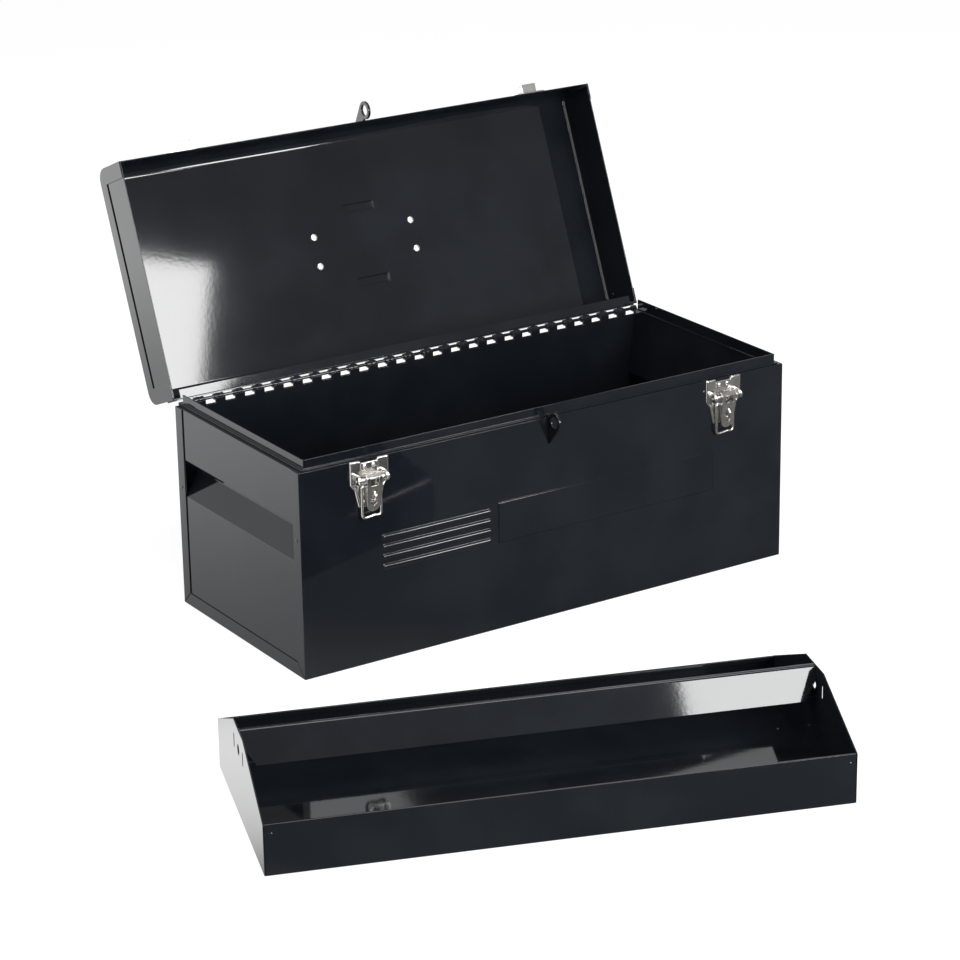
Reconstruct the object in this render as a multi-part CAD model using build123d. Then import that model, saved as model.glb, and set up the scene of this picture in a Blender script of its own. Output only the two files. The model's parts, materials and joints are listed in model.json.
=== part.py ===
"""Machinist tool chest in sheet steel, with its lift-out tote tray standing in front of it.

Millimetres, +Z up. The origin is the middle of the chest's base. The front, with the latches, faces -Y
and the lid's hinge runs along X at the back. The lid stands open, the latches hang, and the tray stands
on the same floor.
"""

import math
import os

from build123d import *

# ---------------------------------------------------------------- chest body
chest_length = 508.0  # along X
chest_depth = 216.0  # along Y
panel_height = 186.0  # floor to the shoulder that the lid closes on
sheet = 1.0  # body, lid and tray sheet
flange_width = 12.0  # strips of the wrap that turn in over the ends
mitre_gap = 0.5  # slit where two of those strips meet

rim_height = 9.6  # upright inner rim above the shoulder
rim_sheet = 1.2
rim_inset_end = 7.0  # outer face of the end to outer face of the rim
rim_inset_front = 3.4
rim_foot_height = 1.6  # thickness of the rim's foot, which lies on the shoulder
rim_foot_end = 2.5  # how far the foot stands out from the rim at the ends
rim_foot_front = 1.9
rim_back_stop = 2.0  # the rim's side legs stop this far short of the back face

# ---------------------------------------------------------------- end handholds
crease_height = 104.5  # where the lower end panel turns inwards
pocket_depth = 16.0  # how far that slope reaches in behind the grip
pocket_rise = 20.3  # how far it climbs on the way
pocket_lip = 6.0  # upright top of the pocket's wall, against the shoulder
pocket_leg_gap = 0.5  # foot of the band's legs clear of the slope
band_low = 139.0  # lower edge of the grip band
band_hem_depth = 4.5
band_hem_height = 9.0

# ---------------------------------------------------------------- pressed front
rib_count = 4
rib_pitch = 9.0
rib_low = 84.6  # middle of the lowest rib
rib_left = -175.5
rib_length = 113.0
rib_radius = 3.25
rib_height = 1.5
field_left = -56.5  # bare raised field to the right of the ribs
field_right = 175.5
field_low = 81.0
field_high = 118.0
field_height = 0.8

# ---------------------------------------------------------------- lid
lid_end_inset = 2.0  # each end of the lid inside the chest's end
lid_half_length = chest_length / 2 - lid_end_inset
lid_seat_gap = 0.8  # lid's free edge above the shoulder when it is shut
lid_height = 46.7  # free edge to outside of the top
lid_corner_radius = 12.0
lid_strip_top = 12.0  # strips of the lid's wrap that turn in over its ends
lid_strip_side = 15.0
lid_back_flange = 8.5
lid_open_angle = 112.2

# ---------------------------------------------------------------- full-length hinge
hinge_pitch = 19.84
hinge_end_inset = 6.0  # each end of the hinge inside the chest's end
hinge_half_length = chest_length / 2 - hinge_end_inset
hinge_sheet = 1.2
hinge_pin_radius = 1.5
hinge_bore_clearance = 0.05
hinge_wall = 1.2
hinge_offset = 4.2  # pivot behind the back face
hinge_below_seat = 0.5  # pivot below the shoulder
knuckle_length = 4.7
knuckle_gap = 0.3
body_leaf_width = 22.0
lid_leaf_width = 20.0
window_depth = 4.5  # open slots between the knuckles, seen from inside

# ---------------------------------------------------------------- latches and catches
latch_x = 186.0  # middle of each latch, left and right
plate_half_width = 19.0
plate_sheet = 1.2
wing_height = 2.0  # pressed wings either side of the plate's channel
channel_half_width = 8.5
channel_notch = 2.6
plate_waist = 21.0  # below the plate's top edge
plate_foot = 42.5
plate_foot_half = 11.0
plate_waist_half = 14.5
lever_pivot_drop = 16.0  # below the shoulder
lever_pivot_proud = 6.2
ear_radius = 4.4
ear_inner = 10.9
ear_outer = 16.3
latch_pin_radius = 1.2
latch_clearance = 0.06
lever_half_width = 7.6
lever_sheet = 1.2
lever_reach = 29.5  # pivot to the tip
lever_top_proud = 10.6
lever_tip_proud = 6.6
lever_tip_radius = 6.4
lever_crown = 4.5  # top of the lever above its pivot, which has to turn clear of the plate
lever_lobe = 0.7  # metal between the wire's hole and the plate side
slot_radius = 3.4  # round end of the slot over the staple
slot_drop = 5.0  # its middle below the staple's middle
slot_margin = 0.6
bail_wire = 1.2  # radius
bail_half_width = 9.3
bail_length = 28.0
bail_pivot_drop = 7.0  # below the lever's pivot
bail_clearance = 0.4  # the wire lies this far off the wings when it is hooked on the catch
bail_corner = 3.2
staple_wire = 1.2  # radius
staple_drop = 31.5  # middle of the staple below the shoulder
staple_half_height = 4.3
staple_proud = 12.6
catch_half_width = 17.5
catch_plate_height = 12.0
catch_hook_inset = 0.4  # hook inside the wire loop, each side
catch_hook_foot = 0.4  # plate's lower edge to the underside of the hook
catch_hook_proud = 9.0
catch_hook_lip = 5.8
catch_sheet = 1.4

# ---------------------------------------------------------------- padlock eyes
eye_radius = 5.0
eye_ring = 8.4
eye_proud = 8.7
eye_drop = 3.0  # below the shoulder
eye_sheet = 2.5
eye_slot = 0.7  # each eye stands this far from the middle plane
eye_root = 22.5

# ---------------------------------------------------------------- carry handle on the lid
handle_pivot_x = 53.0
bracket_half_x = 6.8
bracket_half_y = 19.0
bracket_sheet = 1.5
handle_wire = 3.25  # radius
handle_clearance = 0.08
handle_leg_x = 38.0
handle_reach = 34.7
handle_bend = 8.0
handle_rest_gap = 0.3  # grip above the pressed rests when it is folded down
rivet_y = 13.7
rivet_x = 52.5
pad_half_x = 17.5
pad_half_y = 4.75
pad_height = 1.8

# ---------------------------------------------------------------- rivets
rivet_shank = 2.0
rivet_head = 3.4
rivet_head_height = 1.3
small_head = 1.7
small_head_height = 0.7

# ---------------------------------------------------------------- tote tray
tray_length = 465.0
tray_depth = 200.0
tray_wall = 42.0
tray_peak = 76.0
tray_flat_half = 21.0
tray_hem = 4.0
tray_hem_gap = 0.3
spine_height = 27.0
spine_top = 5.0  # width of the flat before its edges are rounded
spine_lean = 19.0  # each side off the upright
spine_radius = 2.4  # outside of its two folds
spine_chamfer = 11.0
tray_slot_y = 19.0
tray_slot_height = 11.0
tray_hex = 4.0
tray_hole_z = 59.0
tray_x = -210.0  # where the tray stands beside the chest
tray_y = -388.0
tray_turn = -19.25

# ---------------------------------------------------------------- worked out
half_length = chest_length / 2
half_depth = chest_depth / 2
lid_low = panel_height + lid_seat_gap
lid_top = lid_low + lid_height
pivot_y = half_depth + hinge_offset
pivot_z = panel_height - hinge_below_seat
knuckle_radius = hinge_pin_radius + hinge_bore_clearance + hinge_wall
flange_x = half_length - sheet  # inner face of the wrap's end strips
panel_x = flange_x - sheet  # inner face of the end panels
eye_z = panel_height - eye_drop
lever_pivot_z = panel_height - lever_pivot_drop
bail_pivot_z = lever_pivot_z - bail_pivot_drop
staple_z = panel_height - staple_drop
bail_pivot_proud = wing_height + bail_clearance + bail_wire
catch_floor_z = bail_pivot_z + bail_length - bail_wire  # the loop pulls down on this
catch_low = catch_floor_z - catch_sheet - catch_hook_foot
catch_hook_half = bail_half_width - bail_wire - catch_hook_inset
handle_z = lid_top + pad_height + handle_rest_gap + handle_wire
handle_droop = lid_open_angle - 90.0  # the carry handle hangs plumb when the lid stands open

os.makedirs("parts", exist_ok=True)


# ================================================================ shape helpers
def block(x0, x1, y0, y1, z0, z1):
    """Box between two corners."""
    return Pos((x0 + x1) / 2, (y0 + y1) / 2, (z0 + z1) / 2) * Box(x1 - x0, y1 - y0, z1 - z0)


def carry_x(sketch, x0, x1):
    """Flat (y, z) sketch carried from x0 to x1."""
    return extrude(Plane.YZ.offset(x0) * sketch, amount=x1 - x0, dir=(1, 0, 0))


def carry_y(sketch, y0, y1):
    """Flat (x, z) sketch carried from y0 to y1."""
    return extrude(Plane.XZ.offset(-y0) * sketch, amount=y1 - y0, dir=(0, 1, 0))


def along_x(points, x0, x1):
    """Outline of (y, z) points carried from x0 to x1."""
    return carry_x(Polygon(*points, align=None), x0, x1)


def along_y(points, y0, y1):
    """Outline of (x, z) points carried from y0 to y1."""
    return carry_y(Polygon(*points, align=None), y0, y1)


def rod_x(x0, x1, y, z, radius):
    """Round bar along X."""
    return Pos((x0 + x1) / 2, y, z) * Rot(0, 90, 0) * Cylinder(radius, x1 - x0)


def rod_y(y0, y1, x, z, radius):
    """Round bar along Y."""
    return Pos(x, (y0 + y1) / 2, z) * Rot(90, 0, 0) * Cylinder(radius, y1 - y0)


def rod_z(z0, z1, x, y, radius):
    """Round bar along Z."""
    return Pos(x, y, (z0 + z1) / 2) * Cylinder(radius, z1 - z0)


def mirrored(shape):
    """The same shape on the other side of the chest's middle plane."""
    return mirror(shape, about=Plane.YZ)


def save(shape, name):
    """Write one sub-part."""
    export_step(shape, f"parts/{name}.step")


def save_group(solids, name):
    """Write a group of separate solids as one sub-part."""
    save(Compound(children=[s if isinstance(s, Solid) else s.solid() for s in solids]), name)


def opened(shape):
    """Swing a shape of the shut lid back about the hinge."""
    return shape.rotate(Axis((0, pivot_y, pivot_z), (1, 0, 0)), -lid_open_angle)


def on_floor(shape):
    """Stand a shape of the tray beside the chest."""
    return Pos(tray_x, tray_y, 0) * Rot(0, 0, tray_turn) * shape


def window_centres():
    """X of each open slot in the hinge, with the middle one on the chest's middle plane."""
    count = math.floor((hinge_half_length - hinge_pitch / 4) / hinge_pitch)
    return [k * hinge_pitch for k in range(-count, count + 1)]


def knuckle_starts(first):
    """X where each knuckle of one leaf begins: a pair of knuckles fills the metal between two windows."""
    step = 0.0 if first else knuckle_length + knuckle_gap
    pair = 2 * knuckle_length + knuckle_gap
    starts = [x + (hinge_pitch - pair) / 2 + step for x in window_centres()]
    return [x for x in starts if abs(x) < hinge_half_length - knuckle_length]


# ================================================================ body
def body_wrap():
    """One sheet that makes the front, the bottom and the back, with strips turned in over the ends."""
    outer = block(-half_length, half_length, -half_depth, half_depth, 0, panel_height)
    inner_low = sheet
    hollow = block(
        -flange_x, flange_x, -half_depth + sheet, half_depth - sheet, inner_low, panel_height + 1,
    )
    end_hole = block(
        -half_length - 1, half_length + 1,
        -half_depth + flange_width, half_depth - flange_width,
        flange_width, panel_height + 1,
    )
    shell = outer - hollow - end_hole
    ledge_in = rim_inset_front + rim_sheet
    shell += block(
        -half_length + rim_inset_end + 2, half_length - rim_inset_end - 2,
        -half_depth + sheet / 2, -half_depth + ledge_in, panel_height - sheet, panel_height,
    )
    for x in window_centres():
        half = (hinge_pitch - 2 * knuckle_length - knuckle_gap) / 2
        shell -= block(
            x - half, x + half, half_depth - 2 * sheet, half_depth + 1,
            panel_height - window_depth, panel_height + 1,
        )
    slit = mitre_gap / 2
    for side in (-1, 1):
        corner = side * half_depth
        inward = side * (half_depth - flange_width)
        diagonal = [
            (corner, -slit), (corner, slit * 2),
            (inward, flange_width + slit * 2), (inward, flange_width - slit),
        ]
        for x0, x1 in ((-half_length - 1, -flange_x), (flange_x, half_length + 1)):
            shell -= along_x(diagonal, x0, x1) & block(
                x0, x1, -half_depth + sheet, half_depth - sheet, sheet, panel_height
            )
    for index in range(rib_count):
        z = rib_low + index * rib_pitch
        shell = pressed_rib(shell, z)
    return pressed_field(shell)


def capsule(radius, x0, x1, y, z):
    """Round bar with ball ends."""
    bar = rod_x(x0 + radius, x1 - radius, y, z, radius)
    return bar + Pos(x0 + radius, y, z) * Sphere(radius) + Pos(x1 - radius, y, z) * Sphere(radius)


def pressed_rib(shell, z):
    """Press one round rib out of the front, with its groove behind."""
    front = -half_depth
    centre = front + rib_radius - rib_height
    rib = capsule(rib_radius, rib_left, rib_left + rib_length, centre, z)
    rib &= block(-half_length, half_length, front - rib_height - 1, front + sheet / 2, 0, panel_height)
    wall = rib_radius - sheet
    groove = capsule(wall, rib_left + sheet, rib_left + rib_length - sheet, centre, z)
    return shell + rib - groove


def pressed_field(shell):
    """Press the bare rectangular field out of the front."""
    front = -half_depth
    pad = block(field_left, field_right, front - field_height, front + sheet / 2, field_low, field_high)
    edges = pad.edges().filter_by(Plane.XZ).group_by(Axis.Y)[0]
    pad = chamfer(edges, field_height * 0.7)
    pocket = block(
        field_left + sheet, field_right - sheet, front + sheet - field_height, front + sheet,
        field_low + sheet, field_high - sheet,
    )
    return shell + pad - pocket


def ledge_edge():
    """Inner edge of the left shoulder, which the pocket's wall stands against."""
    return -half_length + rim_inset_end + 2


def end_panel():
    """Lower left end sheet: creased inwards into a slope, then up as the wall that closes the handhold."""
    knee_x, knee_z = -flange_x + pocket_depth, crease_height + pocket_rise
    ledge_x, lip_z = ledge_edge(), panel_height - pocket_lip
    slope = math.atan2(pocket_rise, pocket_depth)
    lean = math.atan2(lip_z - knee_z, knee_x - ledge_x)
    low_x, low_z = sheet, -sheet * math.tan((math.pi / 2 - slope) / 2)
    low_knee = sheet / math.sin((slope + lean) / 2)
    turn = (slope - lean) / 2
    outline = [
        (-flange_x, sheet),
        (-flange_x, crease_height),
        (knee_x, knee_z),
        (ledge_x, lip_z),
        (ledge_x, panel_height),
        (ledge_x + sheet, panel_height),
        (ledge_x + sheet, lip_z + sheet * math.tan((math.pi / 2 - lean) / 2)),
        (knee_x + low_knee * math.cos(turn), knee_z + low_knee * math.sin(turn)),
        (-flange_x + low_x, crease_height + low_z),
        (-flange_x + low_x, sheet),
    ]
    reach = half_depth - sheet
    return along_y(outline, -reach, reach)


def handle_band():
    """Upper left end sheet: the grip band, hemmed below, with the shoulder on top and legs to the slope."""
    hem_x = -flange_x + band_hem_depth
    ledge_x = ledge_edge()
    outline = [
        (-flange_x, band_low),
        (-flange_x, panel_height),
        (ledge_x, panel_height),
        (ledge_x, panel_height - sheet),
        (-panel_x, panel_height - sheet),
        (-panel_x, band_low + sheet),
        (hem_x - sheet, band_low + sheet),
        (hem_x - sheet, band_low + band_hem_height),
        (hem_x, band_low + band_hem_height),
        (hem_x, band_low),
    ]
    reach = half_depth - sheet
    band = along_y(outline, -reach, reach)
    for side in (-1, 1):
        y0, y1 = sorted((side * (half_depth - flange_width), side * reach))
        leg_low = crease_height + sheet * pocket_rise / pocket_depth + pocket_leg_gap
        band += block(-flange_x, -panel_x, y0, y1, leg_low, band_low + sheet)
    return band


def rim_frame():
    """Three-sided angle that stands on the shoulder; the lid closes over it."""
    def frame(inset_x, inset_y, width_x, width_y, z0, z1):
        x_out = half_length - inset_x
        y_out = -half_depth + inset_y
        back = half_depth - rim_back_stop
        solid = block(-x_out, x_out, y_out, back, z0, z1)
        return solid - block(-x_out + width_x, x_out - width_x, y_out + width_y, back + 1, z0 - 1, z1 + 1)

    upright = frame(
        rim_inset_end, rim_inset_front, rim_sheet, rim_sheet, panel_height, panel_height + rim_height
    )
    foot = frame(
        rim_inset_end - rim_foot_end, rim_inset_front - rim_foot_front,
        rim_foot_end + rim_sheet, rim_foot_front + rim_sheet,
        panel_height, panel_height + rim_foot_height,
    )
    return upright + foot


def end_rivets():
    """Small rivets through the end strips into the band's legs."""
    solids = []
    for side_x in (-1, 1):
        for side_y, z in ((-1, 125.0), (1, 112.0)):
            y = side_y * (half_depth - flange_width / 2)
            head = side_x * (half_length + small_head_height)
            tail = side_x * (panel_x - small_head_height)
            x0, x1 = sorted((side_x * half_length, head))
            x2, x3 = sorted((side_x * panel_x, tail))
            solids.append(
                rod_x(x0, x1, y, z, small_head) + rod_x(x2, x3, y, z, small_head)
            )
    return [s for group in solids for s in group.solids()]


def wrap_parts():
    """Front, bottom and back of the wrap, parted at its mitred corners."""
    wrap = body_wrap()
    wide = half_length + 1
    high = panel_height + 1
    inner = half_depth - flange_width
    outer = half_depth + rib_height + 1
    bottom = [(-half_depth, 0), (half_depth, 0), (inner, flange_width), (-inner, flange_width)]
    side = [
        (half_depth, 0), (outer, 0), (outer, high), (inner, high), (inner, flange_width),
    ]
    front = [(-y, z) for y, z in side]
    return [wrap & along_x(outline, -wide, wide) for outline in (front, bottom, side)]


# ================================================================ hinge
def knuckle(x0, web):
    """One knuckle and the web that joins it to its leaf; web is -1 for the body's and 1 for the lid's."""
    x1 = x0 + knuckle_length
    barrel = rod_x(x0, x1, pivot_y, pivot_z, knuckle_radius)
    z0, z1 = sorted((pivot_z + web * (knuckle_radius - hinge_sheet), pivot_z + web * knuckle_radius))
    return barrel + block(x0, x1, half_depth, pivot_y, z0, z1)


def hinge_bore():
    """The hole that the pin runs in."""
    return rod_x(
        -half_length, half_length, pivot_y, pivot_z, hinge_pin_radius + hinge_bore_clearance
    )


def hinge_body_leaf():
    """Leaf on the outside of the back, with its knuckles and the slots between them."""
    top = pivot_z - knuckle_radius + hinge_sheet
    leaf = block(
        -hinge_half_length, hinge_half_length, half_depth, half_depth + hinge_sheet,
        top - body_leaf_width, top,
    )
    half = (hinge_pitch - 2 * knuckle_length - knuckle_gap) / 2
    for x in window_centres():
        leaf -= block(
            x - half, x + half, half_depth - 1, half_depth + hinge_sheet + 1,
            panel_height - window_depth, top + 1,
        )
    for x in knuckle_starts(True):
        leaf += knuckle(x, -1)
    return leaf - hinge_bore()


def hinge_lid_leaf():
    """Leaf on the outside of the lid's back lip, with its knuckles."""
    low = pivot_z + knuckle_radius - hinge_sheet
    leaf = block(
        -hinge_half_length, hinge_half_length, half_depth, half_depth + hinge_sheet,
        low, low + lid_leaf_width,
    )
    for x in knuckle_starts(False):
        leaf += knuckle(x, 1)
    return leaf - hinge_bore()


def hinge_pin():
    """The one wire that both rows of knuckles turn on."""
    return rod_x(-hinge_half_length, hinge_half_length, pivot_y, pivot_z, hinge_pin_radius)


# ================================================================ lid
def lid_outline(inset, low):
    """(y, z) face of the lid's cross-section, inset from the outside, with both top corners rounded."""
    width = chest_depth - 2 * inset
    height = lid_top - inset - low
    face = Pos(0, low + height / 2) * Rectangle(width, height)
    corners = face.vertices().group_by(Axis.Y)[-1]
    return fillet(corners, lid_corner_radius - inset)


def lid_slab(inset, low, x0, x1):
    """That cross-section carried along X."""
    return carry_x(lid_outline(inset, low), x0, x1)


def lid_shell():
    """One sheet: front lip, top and back lip, with strips over the ends, two pads and rivet holes."""
    inner = lid_half_length - sheet
    shell = lid_slab(0, lid_low, -lid_half_length, lid_half_length)
    shell -= lid_slab(sheet, lid_low - 5, -inner, inner)
    window = block(
        -lid_half_length - 1, lid_half_length + 1,
        -half_depth + lid_strip_side, half_depth - lid_strip_side,
        lid_low - 1, lid_top - lid_strip_top,
    )
    shell -= window
    flange_half = half_length - rim_inset_end - rim_sheet - 1.5
    shell += block(
        -flange_half, flange_half, half_depth - lid_back_flange, half_depth - sheet / 2,
        lid_low, lid_low + sheet,
    )
    for side in (-1, 1):
        y = side * handle_reach
        pad = block(
            -pad_half_x, pad_half_x, y - pad_half_y, y + pad_half_y,
            lid_top - sheet / 2, lid_top + pad_height,
        )
        pad = chamfer(pad.edges().group_by(Axis.Z)[-1], pad_height * 0.5)
        shell += pad
        shell -= block(
            -pad_half_x + sheet, pad_half_x - sheet, y - pad_half_y + sheet, y + pad_half_y - sheet,
            lid_top - sheet - 1, lid_top + pad_height - sheet,
        )
        for x in (-rivet_x, rivet_x):
            shell -= rod_z(lid_top - 5, lid_top + 5, x, side * rivet_y, rivet_shank)
    return shell


def lid_end():
    """Left end plate of the lid, behind the strips."""
    inner = lid_half_length - sheet
    return lid_slab(sheet, lid_low, -inner, -inner + sheet)


def lid_end_rivets():
    """Small rivet heads inside the lid's ends, near the corners."""
    x = lid_half_length - 2 * sheet
    heads = []
    for side_x in (-1, 1):
        for y in (-half_depth + 7.5, half_depth - 14.0):
            x0, x1 = sorted((side_x * x, side_x * (x - small_head_height)))
            heads.append(rod_x(x0, x1, y, lid_top - 11.5, small_head))
    return heads


# ================================================================ padlock eyes
def eye(root_z, inner_root_z, x0, x1):
    """Sheet eye from x0 to x1: a ring whose side runs on as a straight tangent to the root on the sheet."""
    centre_y = -half_depth - eye_proud
    reach_y = eye_proud
    reach_z = root_z - eye_z
    turn = math.acos(eye_ring / math.hypot(reach_y, reach_z))
    angle = math.atan2(reach_z, reach_y) + math.copysign(turn, reach_z)
    touch = (centre_y + eye_ring * math.cos(angle), eye_z + eye_ring * math.sin(angle))
    web = [
        (-half_depth, root_z), touch, (centre_y, eye_z),
        (centre_y, inner_root_z), (-half_depth, inner_root_z),
    ]
    plate = along_x(web, x0, x1) + rod_x(x0, x1, centre_y, eye_z, eye_ring)
    return plate - rod_x(x0 - 1, x1 + 1, centre_y, eye_z, eye_radius)


def body_eye():
    """Fixed padlock eye on the front, welded below the shoulder."""
    return eye(eye_z - eye_root, panel_height - 1, -eye_slot - eye_sheet, -eye_slot)


def lid_eye():
    """Padlock eye on the lid's front lip, which comes down beside the fixed one."""
    return eye(eye_z + eye_root, lid_low + 1, eye_slot, eye_slot + eye_sheet)


# ================================================================ latches
def proud(distance):
    """Y of a point that stands this far out from the front."""
    return -half_depth - distance


def latch_plate():
    """Latch base plate: two raised wings beside a channel, tapered below, with the lever's two ears."""
    top = panel_height
    outline = [
        (-plate_half_width, top), (-channel_half_width, top), (-channel_half_width, top - channel_notch),
        (channel_half_width, top - channel_notch), (channel_half_width, top), (plate_half_width, top),
        (plate_half_width, top - plate_waist), (plate_waist_half, top - plate_waist - 5.5),
        (plate_foot_half, top - plate_foot), (-plate_foot_half, top - plate_foot),
        (-plate_waist_half, top - plate_waist - 5.5), (-plate_half_width, top - plate_waist),
    ]
    plate = along_y(outline, proud(plate_sheet), proud(0))
    for side in (-1, 1):
        x0, x1 = sorted((side * channel_half_width, side * plate_half_width))
        wing = block(x0, x1, proud(wing_height), proud(0), top - plate_waist, top)
        wing_edges = wing.edges().group_by(Axis.Y)[0]
        plate += chamfer(wing_edges, 0.6)
        e0, e1 = sorted((side * ear_inner, side * ear_outer))
        ear = rod_x(e0, e1, proud(lever_pivot_proud), lever_pivot_z, ear_radius)
        root = block(
            e0, e1, proud(lever_pivot_proud), proud(plate_sheet), lever_pivot_z - ear_radius, lever_pivot_z
        )
        plate += ear + root
    return plate - rod_x(
        -ear_outer - 1, ear_outer + 1, proud(lever_pivot_proud), lever_pivot_z, latch_pin_radius
    )


def latch_pin():
    """Pin through the two ears."""
    return rod_x(-ear_outer, ear_outer, proud(lever_pivot_proud), lever_pivot_z, latch_pin_radius)


def lever_side(inset):
    """(y, z) outline of the lever seen from its end, inset from its outer face."""
    pivot = lever_pivot_z
    tip = pivot - lever_reach
    lobe = bail_pivot_proud - bail_wire - lever_lobe
    face = proud(lever_top_proud - inset)
    return [
        (proud(lever_pivot_proud - 2.8), pivot + 2.6 - inset),
        (proud(lever_pivot_proud + 1.0), pivot + lever_crown - inset),
        (face, pivot + lever_crown - 2.6 - inset * 0.6),
        (face, pivot - 4.0),
        (proud(lever_tip_proud - inset), tip - 1),
        (proud(3.0), tip - 1),
        (proud(3.0), bail_pivot_z - 4.5),
        (proud(lobe), bail_pivot_z - 2.0),
        (proud(lobe), bail_pivot_z + 1.5),
    ]


def lever_form(side, half_top, half_tip, inset):
    """Solid of one (y, z) outline, tapered towards its round tip as seen from the front."""
    pivot = lever_pivot_z
    round_z = pivot - lever_reach + lever_tip_radius
    y0, y1 = proud(20), proud(0)
    body = along_y(
        [
            (-half_top, pivot + 8), (half_top, pivot + 8), (half_top, pivot - 8),
            (half_tip, round_z), (-half_tip, round_z), (-half_top, pivot - 8),
        ],
        y0, y1,
    )
    body += rod_y(y0, y1, 0, round_z, lever_tip_radius - inset)
    return body & along_x(side, -half_top, half_top)


def latch_lever():
    """Pressed channel lever with a window at the top and a slot over the staple."""
    pivot = lever_pivot_z
    tip = pivot - lever_reach
    outer = lever_form(lever_side(0), lever_half_width, lever_tip_radius, 0)
    inside = [(proud(0), pivot + 0.4)] + lever_side(lever_sheet)[1:5] + [(proud(0), tip - 8)]
    inner = lever_form(inside, lever_half_width - lever_sheet, lever_tip_radius - lever_sheet, lever_sheet)
    lever = outer - inner
    front = proud(20), proud(lever_tip_proud - lever_sheet - 1.5)
    lever -= block(-4.1, 4.1, proud(20), proud(lever_top_proud - lever_sheet - 1), pivot - 5.5, pivot + 1.6)
    lever -= rod_y(*front, 0, staple_z - slot_drop, slot_radius)
    top = staple_z + staple_half_height + staple_wire + slot_margin
    neck = staple_wire + slot_margin
    shoulder = staple_z - slot_drop + 1.1
    wide = slot_radius * 0.94
    lever -= along_y([(-wide, shoulder), (wide, shoulder), (neck, top), (-neck, top)], *front)
    lever -= rod_x(-20, 20, proud(lever_pivot_proud), pivot, latch_pin_radius + latch_clearance)
    return lever - rod_x(-20, 20, proud(bail_pivot_proud), bail_pivot_z, bail_wire + latch_clearance)


def latch_bail():
    """Wire loop whose two ends turn in through the lever's sides."""
    pivot = bail_pivot_z
    low = pivot - bail_length
    stub = lever_half_width - lever_sheet - 0.6
    bend = bail_half_width - lever_half_width
    y = proud(bail_pivot_proud)
    path = FilletPolyline(
        (-stub, y, pivot), (-bail_half_width, y, pivot), (-bail_half_width, y, low + bail_corner),
        (-bail_half_width + bail_corner, y, low), (bail_half_width - bail_corner, y, low),
        (bail_half_width, y, low + bail_corner), (bail_half_width, y, pivot), (stub, y, pivot),
        radius=bend * 0.9,
    )
    section = Plane(origin=path @ 0, z_dir=path % 0) * Circle(bail_wire)
    return sweep(section, path)


def latch_staple():
    """Wire staple on the plate, which stands out through the lever's slot for a padlock."""
    z = staple_z
    bow = staple_half_height
    arc_y = proud(staple_proud - bow - staple_wire)
    path = Polyline((0, proud(plate_sheet), z - bow), (0, arc_y, z - bow))
    path += ThreePointArc((0, arc_y, z - bow), (0, arc_y - bow, z), (0, arc_y, z + bow))
    path += Polyline((0, arc_y, z + bow), (0, proud(plate_sheet), z + bow))
    wire = Wire(path.edges())
    section = Plane(origin=wire @ 0, z_dir=wire % 0) * Circle(staple_wire)
    return sweep(section, wire)


def latch_rivets():
    """Rivets of one latch: two in the channel and one behind the lever's tip."""
    places = [(-4.4, panel_height - 6.2), (4.4, panel_height - 6.2), (0, panel_height - plate_foot + 2.6)]
    return [
        rod_y(proud(plate_sheet + rivet_head_height * 0.6), proud(plate_sheet), x, z, 2.1)
        for x, z in places
    ]


def catch():
    """Hook on the lid's front lip that the wire loop pulls down on."""
    low = catch_low
    plate = block(
        -catch_half_width, catch_half_width, proud(plate_sheet), proud(0), low, low + catch_plate_height
    )
    corners = plate.edges().filter_by(Axis.Y)
    plate = fillet(corners, 3.0)
    under = low + catch_hook_foot
    lip = proud(catch_hook_proud - catch_sheet)
    hook = along_x(
        [
            (proud(0.5), under), (proud(catch_hook_proud), under),
            (proud(catch_hook_proud), under + catch_hook_lip), (lip, under + catch_hook_lip),
            (lip, under + catch_sheet), (proud(0.5), under + catch_sheet),
        ],
        -catch_hook_half, catch_hook_half,
    )
    return plate + hook


def catch_rivets():
    """The two rivet heads of one catch."""
    z = catch_low + catch_plate_height / 2
    return [
        rod_y(proud(plate_sheet + rivet_head_height * 0.7), proud(plate_sheet), x, z, 2.3)
        for x in (-13.3, 13.3)
    ]


# ================================================================ carry handle
def handle_bracket():
    """Left saddle that holds one end of the carry handle to the lid's top."""
    x0, x1 = -handle_pivot_x - bracket_half_x, -handle_pivot_x + bracket_half_x
    strap = block(x0, x1, -bracket_half_y, bracket_half_y, lid_top, lid_top + bracket_sheet)
    strap = fillet(strap.edges().filter_by(Axis.Z), 4.0)
    arch_radius = handle_wire + handle_clearance + bracket_sheet
    arch = rod_x(x0, x1, 0, handle_z, arch_radius)
    arch += block(x0, x1, -arch_radius, arch_radius, lid_top, handle_z)
    saddle = strap + arch
    saddle -= rod_x(x0 - 1, x1 + 1, 0, handle_z, handle_wire + handle_clearance)
    for side in (-1, 1):
        saddle -= rod_z(lid_top - 1, lid_top + 5, -rivet_x, side * rivet_y, rivet_shank)
    return saddle


def carry_handle():
    """Round-bar handle, laid over towards the back by the angle it hangs at on the open lid."""
    end = handle_pivot_x + bracket_half_x + 0.7
    z = handle_z
    path = FilletPolyline(
        (-end, 0, z), (-handle_leg_x, 0, z), (-handle_leg_x, handle_reach, z),
        (handle_leg_x, handle_reach, z), (handle_leg_x, 0, z), (end, 0, z),
        radius=handle_bend - 0.2,
    )
    section = Plane(origin=path @ 0, z_dir=path % 0) * Circle(handle_wire)
    bar = sweep(section, path)
    return bar.rotate(Axis((0, 0, z), (1, 0, 0)), handle_droop)


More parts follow.
